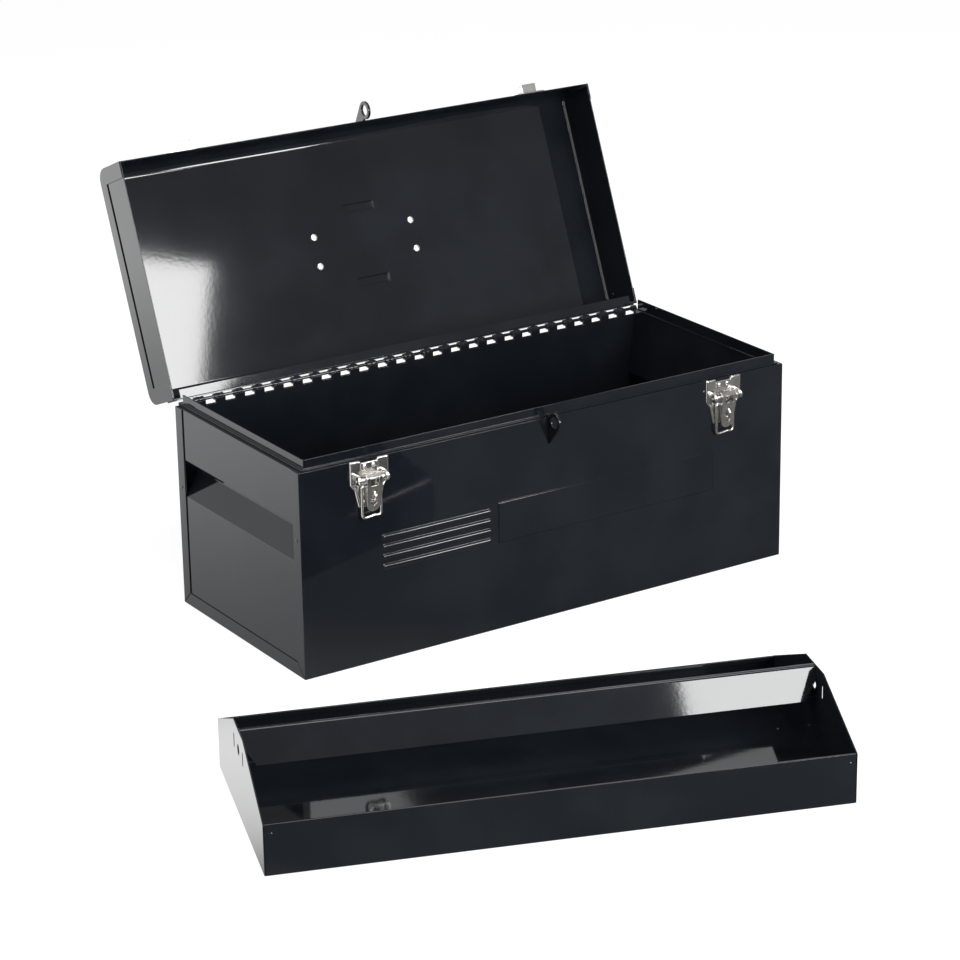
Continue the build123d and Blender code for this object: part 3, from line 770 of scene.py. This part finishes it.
@dataclass
class Lid:
    """Lid shell, its end plates with their bend, small rivets and the padlock eye."""

    hinge: Hinge = field(default_factory=Hinge)
    half_length: float = 252.0
    half_depth: float = 108.0
    low: float = 186.8
    top: float = 233.5
    corner: float = 12.0
    sheet: float = 1.0
    bend: float = 1.7
    lip_front: float = 0.6
    lip_back: float = 1.6
    rivet_front: float = 7.5
    rivet_back: float = 14.0
    rivet_drop: float = 11.5
    rivet_radius: float = 1.7
    rivet_height: float = 0.7

    def build(self, shop: Shop) -> None:
        """Make every piece of the lid but its catches and handle."""
        shop.eased("lid_shell", Body.LID, Slot.BLACK)
        for side, sign in (("left", -1), ("right", 1)):
            shop.eased(f"lid_end_{side}", Body.LID, Slot.BLACK, 0.3, 2)
            shop.add(f"lid_end_bend_{side}", self.end_bend(sign), Body.LID, Slot.BLACK)
        shop.eased("lid_padlock_eye", Body.LID, Slot.BLACK, 0.5)
        shop.add("lid_end_rivet_heads", self.rivets(), Body.LID, Slot.BLACK, ["lid_end_rivets"])

    def outline(self, inset: float) -> tuple[Points, Points]:
        """The lid's inner cross-section from its front lip over the top to its back lip.

        It runs up the front, round an arc, along the top, round an arc and down the back.

        Args:
            inset: distance inside the lid's outside.

        Returns:
            (y, z) points and the unit directions that point inwards from them.
        """
        radius = self.corner - inset
        y, z = self.half_depth - self.corner, self.top - self.corner
        arc = np.linspace(0, math.pi / 2, 13)
        front = np.stack([-y - radius * np.cos(arc), z + radius * np.sin(arc)], -1)
        back = np.stack([y + radius * np.sin(arc), z + radius * np.cos(arc)], -1)
        start = [[-self.half_depth + inset, self.low + self.lip_front]]
        end = [[self.half_depth - inset, self.low + self.lip_back]]
        off_front = np.stack([np.cos(arc), -np.sin(arc)], -1)
        off_back = np.stack([-np.sin(arc), -np.cos(arc)], -1)
        inward = np.concatenate([[[1.0, 0.0]], off_front, off_back, [[-1.0, 0.0]]])
        return np.concatenate([start, front, back, end]), inward

    def end_bend(self, sign: int) -> Surface:
        """Bend where an end plate turns along the shell: a hollow quarter round swept along the outline.

        The section is a closed strip between the corner itself and the quarter circle of radius bend whose
        centre lies bend inside both faces.

        Args:
            sign: -1 for the left end, 1 for the right.

        Returns:
            Points in millimetres and faces.
        """
        at, inward = self.outline(self.sheet)
        wall = self.half_length - 2 * self.sheet
        angle = np.linspace(0, math.pi / 2, 7)
        off_wall = np.concatenate([[0.0], self.bend * (1 - np.sin(angle))])
        off_shell = np.concatenate([[0.0], self.bend * (1 - np.cos(angle))])
        x = sign * (wall - off_wall)
        yz = at[:, None] + inward[:, None] * off_shell[None, :, None]
        points = np.concatenate([np.broadcast_to(x[None, :, None], (*yz.shape[:2], 1)), yz], -1)
        return self.hinge.opened(points.reshape(-1, 3)), ring_faces(*points.shape[:2])

    def rivets(self) -> Surface:
        """Small heads inside the end plates."""
        x = self.half_length - 2 * self.sheet
        heads = []
        for sign in (-1, 1):
            for y in (-self.half_depth + self.rivet_front, self.half_depth - self.rivet_back):
                seat = (sign * x, y, self.top - self.rivet_drop)
                heads.append(dome(seat, (-sign, 0, 0), self.rivet_radius, self.rivet_height))
        points, faces = joined(heads)
        return self.hinge.opened(points), faces


@dataclass
class CarryHandle:
    """Wire handle on the outside of the lid, its saddles and the rivets that hold them."""

    hinge: Hinge = field(default_factory=Hinge)
    top: float = 233.5
    wire: float = 3.25
    rise: float = 5.35
    leg: float = 38.0
    reach: float = 34.7
    end: float = 60.5
    droop: float = 22.2
    rivet_x: float = 52.5
    rivet_y: float = 13.7
    rivet_radius: float = 3.4
    rivet_height: float = 1.3
    bracket: float = 1.5
    sheet: float = 1.0
    bend: float = 7.8
    cap: float = 0.6

    def build(self, shop: Shop) -> None:
        """Make the handle, the saddles and the rivets."""
        shop.add("carry_handle_wire", self.bail(), Body.CARRY, Slot.BLACK, ["carry_handle"])
        for side in ("left", "right"):
            shop.eased(f"handle_bracket_{side}", Body.LID, Slot.BLACK, 0.35)
        shop.add("handle_rivet_heads", self.rivets(), Body.LID, Slot.BRIGHT, ["handle_rivets"])

    def bail(self) -> Surface:
        """Round wire bent twice each side, laid over by the angle that it hangs at."""
        z = self.top + self.rise
        end = self.end - self.cap
        corners = [
            (-end, 0, 0), (-self.leg, 0, 0), (-self.leg, self.reach, 0),
            (self.leg, self.reach, 0), (self.leg, 0, 0), (end, 0, 0),
        ]
        line = rounded_path(corners, [self.bend] * 4, 12)
        turn = math.radians(self.droop)
        laid = np.stack([line[:, 0], line[:, 1] * math.cos(turn), z + line[:, 1] * math.sin(turn)], -1)
        points, faces = tube(laid, self.wire, 24)
        return self.hinge.opened(points), faces

    def rivets(self) -> Surface:
        """A head inside the lid and one on each saddle's foot, at four places."""
        heads = []
        for x in (-self.rivet_x, self.rivet_x):
            for y in (-self.rivet_y, self.rivet_y):
                for z, out in ((self.top - self.sheet, -1), (self.top + self.bracket, 1)):
                    heads.append(dome((x, y, z), (0, 0, out), self.rivet_radius, self.rivet_height))
        points, faces = joined(heads)
        return self.hinge.opened(points), faces


@dataclass
class DrawLatch:
    """One draw latch: pressed plate, ears, lever, wire loop, staple and rivets, and its catch on the lid."""

    side: str
    lever: Body
    loop: Body
    x: float
    hinge: Hinge = field(default_factory=Hinge)
    face: float = -108.0
    top: float = 186.0
    sheet: float = 1.2
    wing: float = 0.8
    half_width: float = 19.0
    channel: float = 8.5
    notch: float = 2.6
    pivot_z: float = 170.0
    pivot_proud: float = 6.2
    loop_z: float = 163.0
    loop_proud: float = 3.6
    loop_half: float = 9.3
    loop_length: float = 28.0
    loop_wire: float = 1.2
    staple_z: float = 154.5
    staple_bow: float = 4.3
    staple_proud: float = 12.6
    staple_wire: float = 1.2
    catch_z: float = 188.0
    catch_rivet: tuple[float, float] = (13.3, 6.0)
    foot: float = 143.5
    ear_u: float = 13.6
    ear_half_width: float = 2.7
    ear_half_height: float = 4.6
    ear_seat: float = 0.8
    ear_cover: float = 3.6
    plate_rivets: tuple[tuple[float, float], ...] = ((-4.4, 179.8), (4.4, 179.8), (0.0, 146.1))
    rivet_flat: float = 0.3

    def build(self, shop: Shop) -> None:
        """Make every piece of this latch and its catch."""
        side, chest, nickel = self.side, Body.CHEST, Slot.NICKEL
        shop.add(f"latch_plate_pressed_{side}", self.plate(), chest, nickel, [f"latch_plate_{side}"])
        shop.add(f"latch_ears_{side}", self.ears(), chest, nickel)
        shop.eased(f"latch_lever_{side}", self.lever, nickel, 0.2, 2)
        shop.add(f"latch_loop_{side}", self.wire_loop(), self.loop, nickel, [f"latch_bail_{side}"])
        shop.add(f"latch_staple_wire_{side}", self.staple(), chest, nickel, [f"latch_staple_{side}"])
        shop.eased(f"catch_{side}", Body.LID, nickel, 0.4)

    def at(self, u: np.ndarray | float, proud: np.ndarray | float, z: np.ndarray | float) -> Points:
        """Points of the latch from its own measures, in millimetres.

        Args:
            u: distance to the right of the latch's middle.
            proud: distance before the chest's front.
            z: height above the chest's base.

        Returns:
            Points of the chest's frame.
        """
        u, proud, z = np.broadcast_arrays(u, proud, z)
        return np.stack([self.x + u, self.face - proud, z], -1)

    def half(self, z: np.ndarray) -> np.ndarray:
        """Half width of the plate at a height: full above, waisted, then tapered to its foot."""
        heights = [self.foot, 144.6, 159.5, 165.0, 185.0, self.top]
        return np.interp(z, heights, [9.6, 11.0, 14.5, self.half_width, self.half_width, 18.2])

    def plate(self) -> Surface:
        """Pressed plate as one closed sheet.

        Across (u) and up (v) run over a grid. Its edge is half(z); the top edge drops by the notch between the
        wings; the wings stand wing higher than the channel over a smooth step, and fade out below the ears. Its
        rim and its ends round off from the full sheet to the thin edge, and a low bead runs beside the rim.

        Returns:
            Points in millimetres and faces.
        """
        u = np.linspace(-1, 1, 61)[None, :]
        v = np.linspace(0, 1, 70)[:, None]
        tall, thin, end = self.top - self.foot, 0.5, 0.5
        guess = self.foot + v * tall
        across = u * self.half(guess)
        inside = (1 - np.abs(u)) * self.half(guess)
        side = np.clip(np.abs(across) - (self.channel - 0.5), 0, 1)
        side = side * side * (3 - 2 * side)
        z = self.foot + v * (tall - self.notch * (1 - side) * np.clip((v - 0.8) / 0.2, 0, 1))
        rim = np.clip(inside / 0.8, 0, 1)
        low = np.clip((z - 164.0) / 2.0, 0, 1)
        edge = np.minimum(np.clip(v * tall / end, 0, 1), np.clip((1 - v) * tall / end, 0, 1))
        soft = np.minimum(np.sqrt(1 - (1 - rim) ** 2), np.sqrt(1 - (1 - edge) ** 2))
        bead = 0.35 * np.exp(-(((inside - 1.6) / 0.7) ** 2)) * (1 - low)
        proud = thin + (self.sheet - thin) * soft + self.wing * side * low * soft + bead
        front = self.at(across, proud, z)
        back = self.at(across, 0.0, z)
        rows, columns = front.shape[:2]
        points = np.concatenate([front.reshape(-1, 3), back.reshape(-1, 3)])
        count = rows * columns
        faces: Faces = list(grid_faces(rows, columns, False, False))
        faces += list(grid_faces(rows, columns, False, False, count)[:, ::-1])
        ring = np.concatenate([
            np.arange(columns), np.arange(1, rows) * columns + columns - 1,
            (rows - 1) * columns + np.arange(columns - 2, -1, -1), np.arange(rows - 2, 0, -1) * columns,
        ])
        after = np.roll(ring, -1)
        faces += np.stack([ring, after, after + count, ring + count], -1).tolist()
        return points, faces

    def ears(self) -> Surface:
        """Two bulged ears that hold the lever's pin, and two rivet heads above and one below the lever.

        As t goes from 0 to a quarter turn, an ear's ring at angle a is its centre plus (half width times cos a,
        half height times sin a) times cos(t) to the power of 0.55, and it stands out by sin(t) to the power of
        0.75 times the ear's reach, so it is a dome with a soft shoulder.

        Returns:
            Points in millimetres and faces.
        """
        parts = []
        sides, crown = 32, 0.02
        t = np.linspace(0, math.pi / 2, 12)
        wide = np.cos(t) ** 0.55
        wide[-1] = crown
        rise = np.sin(t) ** 0.75
        angle = np.linspace(0, 2 * math.pi, sides, endpoint=False)
        for sign in (-1, 1):
            across = sign * self.ear_u + self.ear_half_width * wide[:, None] * np.cos(angle)[None]
            up = self.pivot_z + self.ear_half_height * wide[:, None] * np.sin(angle)[None]
            proud = self.ear_seat + (self.pivot_proud + self.ear_cover) * rise[:, None]
            parts.append((self.at(across, proud, up).reshape(-1, 3), ring_faces(len(t), sides)))
        for u, z in self.plate_rivets:
            parts.append(dome(self.at(u, self.sheet - 0.02, z), (0, -1, 0), 2.1, 0.8, self.rivet_flat))
        return joined(parts)

    def wire_loop(self) -> Surface:
        """Wire loop: ends turned in through the lever, straight sides and a bar with a slight kink."""
        low, high = self.loop_z - self.loop_length, self.loop_z
        corners = [
            (-5.9, 0, high), (-self.loop_half, 0, high), (-self.loop_half, 0, low - 0.2), (-2.6, 0, low + 0.1),
            (2.6, 0, low + 0.9), (self.loop_half, 0, low + 0.1), (self.loop_half, 0, high), (5.9, 0, high),
        ]
        line = rounded_path(corners, [1.6, 2.8, 3.0, 3.0, 2.8, 1.6], 9)
        return tube(self.at(line[:, 0], self.loop_proud, line[:, 2]), self.loop_wire, 16)

    def staple(self) -> Surface:
        """Staple that stands out through the lever's slot."""
        foot, out = self.sheet - 0.4, self.staple_proud - self.staple_wire
        low, high = self.staple_z - self.staple_bow, self.staple_z + self.staple_bow
        line = rounded_path([(0, foot, low), (0, out, low), (0, out, high), (0, foot, high)], [4.1, 4.1], 14)
        return tube(self.at(0.0, line[:, 1], line[:, 2]), self.staple_wire, 16)

    def catch_rivets(self) -> Surface:
        """The two rivet heads of this latch's catch."""
        away, up = self.catch_rivet
        heads = []
        for u in (-away, away):
            seat = self.at(u, self.sheet - 0.02, self.catch_z + up)
            heads.append(dome(seat, (0, -1, 0), 2.3, 0.9, self.rivet_flat))
        points, faces = joined(heads)
        return self.hinge.opened(points), faces


@dataclass
class ToteTray:
    """Pan, end plates, spine and rivets of the tote tray."""

    plan: Floorplan = field(default_factory=Floorplan)
    half_length: float = 232.5
    half_depth: float = 100.0
    wall: float = 42.0
    sheet: float = 1.0
    wall_rivet: tuple[float, float] = (6.0, 8.0)
    floor_rivet: tuple[float, float] = (14.0, 46.0)
    rivet_radius: float = 1.6
    rivet_height: float = 0.7

    def build(self, shop: Shop) -> None:
        """Make every piece of the tray."""
        for node in ("tray_pan", "tray_end_left", "tray_end_right", "tray_spine"):
            shop.eased(node, Body.TRAY, Slot.TRAY, 0.4)
        shop.add("tray_rivet_heads", self.rivets(), Body.TRAY, Slot.TRAY, ["tray_rivets"])

    def rivets(self) -> Surface:
        """Small heads on both walls near the ends and on the floor's end flanges."""
        heads = []
        for sign in (-1, 1):
            for edge in (-1, 1):
                inset, drop = self.wall_rivet
                seat = (sign * (self.half_length - inset), edge * self.half_depth, self.wall - drop)
                heads.append(dome(seat, (0, edge, 0), self.rivet_radius, self.rivet_height))
                inset, y = self.floor_rivet
                seat = (sign * (self.half_length - inset), edge * y, self.sheet)
                heads.append(dome(seat, (0, 0, 1), self.rivet_radius, self.rivet_height))
        points, faces = joined(heads)
        return self.plan.placed(points), faces


# ---------------------------------------------------------------- studio
@dataclass(frozen=True)
class SoftBox:
    """A soft box: where it hangs and what it faces, its size in metres, its watts and its roll in degrees."""

    name: str
    place: tuple[float, float, float]
    target: tuple[float, float, float]
    width: float
    height: float
    watts: float
    roll: float = 0.0

    def hang(self) -> None:
        """Make the lamp and turn it to its target."""
        lamp = bpy.data.lights.new(self.name, "AREA")
        lamp.shape, lamp.size, lamp.size_y, lamp.energy = "RECTANGLE", self.width, self.height, self.watts
        made = bpy.data.objects.new(self.name, lamp)
        bpy.context.scene.collection.objects.link(made)
        aim = Vector(self.target) - Vector(self.place)
        turn = aim.to_track_quat("-Z", "Y").to_matrix() @ Matrix.Rotation(math.radians(self.roll), 3, "Z")
        made.rotation_euler = turn.to_euler()
        made.location = self.place


SOFT_BOXES = (
    SoftBox("key_box", (0.50, -2.00, 1.06), (0.0, 0.05, 0.22), 0.74, 0.80, 40.0, -23.0),
    SoftBox("strip_box", (1.08, -2.00, 0.74), (-0.1, -0.1, 0.15), 0.24, 0.44, 8.0),
    SoftBox("low_box", (0.14, -2.05, 0.46), (-0.1, -0.4, 0.10), 0.66, 0.42, 16.0),
    SoftBox("top_box", (-0.1, -0.5, 2.5), (0.0, 0.0, 0.1), 1.7, 1.1, 34.0),
    SoftBox("left_box", (-1.9, 0.7, 1.3), (-0.2, 0.0, 0.15), 0.9, 1.1, 16.0),
    SoftBox("side_box", (-2.2, -0.5, 0.8), (0.1, 0.0, 0.2), 0.8, 0.8, 10.0),
)


@dataclass
class Studio:
    """Camera, soft boxes, pale floor and white surroundings."""

    eye: tuple[float, float, float] = (-1.49354, -2.31002, 1.09727)
    forward: tuple[float, float, float] = (0.50889827, 0.78983717, -0.34231534)
    across: tuple[float, float, float] = (0.83756233, -0.54613661, -0.01497152)
    above: tuple[float, float, float] = (0.198776, 0.27909145, 0.93946584)
    focal_px: float = 3238.88
    image_px: float = 960.0
    sensor_mm: float = 36.0
    floor_half: float = 9.0
    floor_z: float = -0.0004
    floor_glow: float = 0.86
    fill: float = 0.38

    def build(self) -> None:
        """Make the camera, lights, floor and world."""
        self.camera()
        for soft_box in SOFT_BOXES:
            soft_box.hang()
        self.floor()
        self.world()
        bpy.context.scene.view_settings.view_transform = "Standard"

    def camera(self) -> None:
        """Camera at the photograph's place and angle."""
        lens = bpy.data.cameras.new("camera")
        lens.sensor_width = self.sensor_mm
        lens.lens = self.focal_px * self.sensor_mm / self.image_px
        lens.clip_start, lens.clip_end = 0.05, 60.0
        made = bpy.data.objects.new("camera", lens)
        bpy.context.scene.collection.objects.link(made)
        right, up, back = Vector(self.across), Vector(self.above), -Vector(self.forward)
        turn = Matrix((right, up, back)).transposed().to_4x4()
        made.matrix_world = Matrix.Translation(self.eye) @ turn
        bpy.context.scene.camera = made

    def rays(self, graph: Graph) -> tuple[Wire, Wire, Wire]:
        """Flags of the kinds of ray.

        Args:
            graph: the tree that reads them.

        Returns:
            The camera, glossy and transmission flags.
        """
        path = graph.node("ShaderNodeLightPath")
        names = ("Is Camera Ray", "Is Glossy Ray", "Is Transmission Ray")
        camera, glossy, through = (Wire(graph, path.outputs[name]) for name in names)
        return camera, glossy, through

    def floor(self) -> None:
        """Pale floor that shows white to the camera, keeps shadows, and is brighter behind in reflections."""
        size, z = self.floor_half, self.floor_z
        corners = np.array([[-size, -size, z], [size, -size, z], [size, size, z], [-size, size, z]])
        sheet = as_object("floor", corners, [[0, 1, 2, 3]])
        made = bpy.data.materials.new("floor_white")
        graph = Graph(made)
        camera, glossy, through = self.rays(graph)
        parts = graph.node("ShaderNodeSeparateXYZ", None, {"Vector": graph.place()})
        x, y = Wire(graph, parts.outputs["X"]), Wire(graph, parts.outputs["Y"])
        # Painted reflection light: only in reflections the floor glows, dim before the chest, brighter behind
        # it and in a round patch left of its front.
        along = y * 0.8 - x * 0.6
        near, middle, far = along.step(-0.10, 0.14), along.step(0.1, 0.8), along.step(0.8, 1.4)
        off_x, off_y = x + 0.47, y + 0.22
        beside = (off_x * off_x + off_y * off_y).step(0.05, 0.0)
        seen = 0.12 + near * 0.50 + middle * 0.85 + far * 1.0 + beside * 0.9
        other = 1.0 - (camera + glossy + through).clamped()
        tone = other * 0.8 + (camera + through) * 0.22 + glossy * 0.03
        glow = (camera + through) * self.floor_glow + glossy * seen
        matt = graph.node("ShaderNodeBsdfDiffuse", None, {"Color": tone})
        light = graph.node("ShaderNodeEmission", None, {"Color": (1, 1, 1, 1), "Strength": glow})
        both = {0: matt.outputs[0], 1: light.outputs[0]}
        graph.finish(graph.node("ShaderNodeAddShader", None, both))
        sheet.data.materials.append(made)

    def world(self) -> None:
        """White to the camera; in reflections white behind the chest and dimmer before it."""
        made = bpy.data.worlds.new("surroundings")
        bpy.context.scene.world = made
        graph = Graph(made)
        camera, glossy, through = self.rays(graph)
        way = graph.node("ShaderNodeTexCoord").outputs["Generated"]
        parts = graph.node("ShaderNodeSeparateXYZ", None, {"Vector": way})
        x, y = Wire(graph, parts.outputs["X"]), Wire(graph, parts.outputs["Y"])
        along = y * 0.86 - x * 0.5
        seen = 0.30 + along.step(-0.3, 0.5) * 0.70
        other = 1.0 - (camera + glossy + through).clamped()
        strength = camera + through + glossy * seen + other * self.fill
        sockets = {"Color": (1, 1, 1, 1), "Strength": strength}
        graph.finish(graph.node("ShaderNodeBackground", None, sockets))


def main() -> None:
    """Build the chest's pieces and the studio."""
    logging.basicConfig(level=logging.INFO, format="%(message)s")
    finishes = Finishes().build()
    shop = Shop(finishes)
    slots = {subpart["node"]: subpart["material_slot"] for subpart in frame["record"]["subparts"]}
    for name, node in frame["nodes"].items():
        finishes.put(node, Slot(slots[name]))
    ChestBody().build(shop)
    PianoHinge().build(shop)
    Lid().build(shop)
    CarryHandle().build(shop)
    latches = (
        DrawLatch("left", Body.LEFT_LEVER, Body.LEFT_LOOP, -186.0),
        DrawLatch("right", Body.RIGHT_LEVER, Body.RIGHT_LOOP, 186.0),
    )
    for latch in latches:
        latch.build(shop)
    heads = joined([latch.catch_rivets() for latch in latches])
    shop.add("catch_rivet_heads", heads, Body.LID, Slot.NICKEL, ["catch_rivets"])
    # each pair of ears holds its latch's rivet heads, and the CAD has the rivets of both latches in one node
    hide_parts("latch_rivets")
    ToteTray().build(shop)
    Studio().build()
    LOG.info("%d pieces", shop.count)


if __name__ == "__main__":
    main()
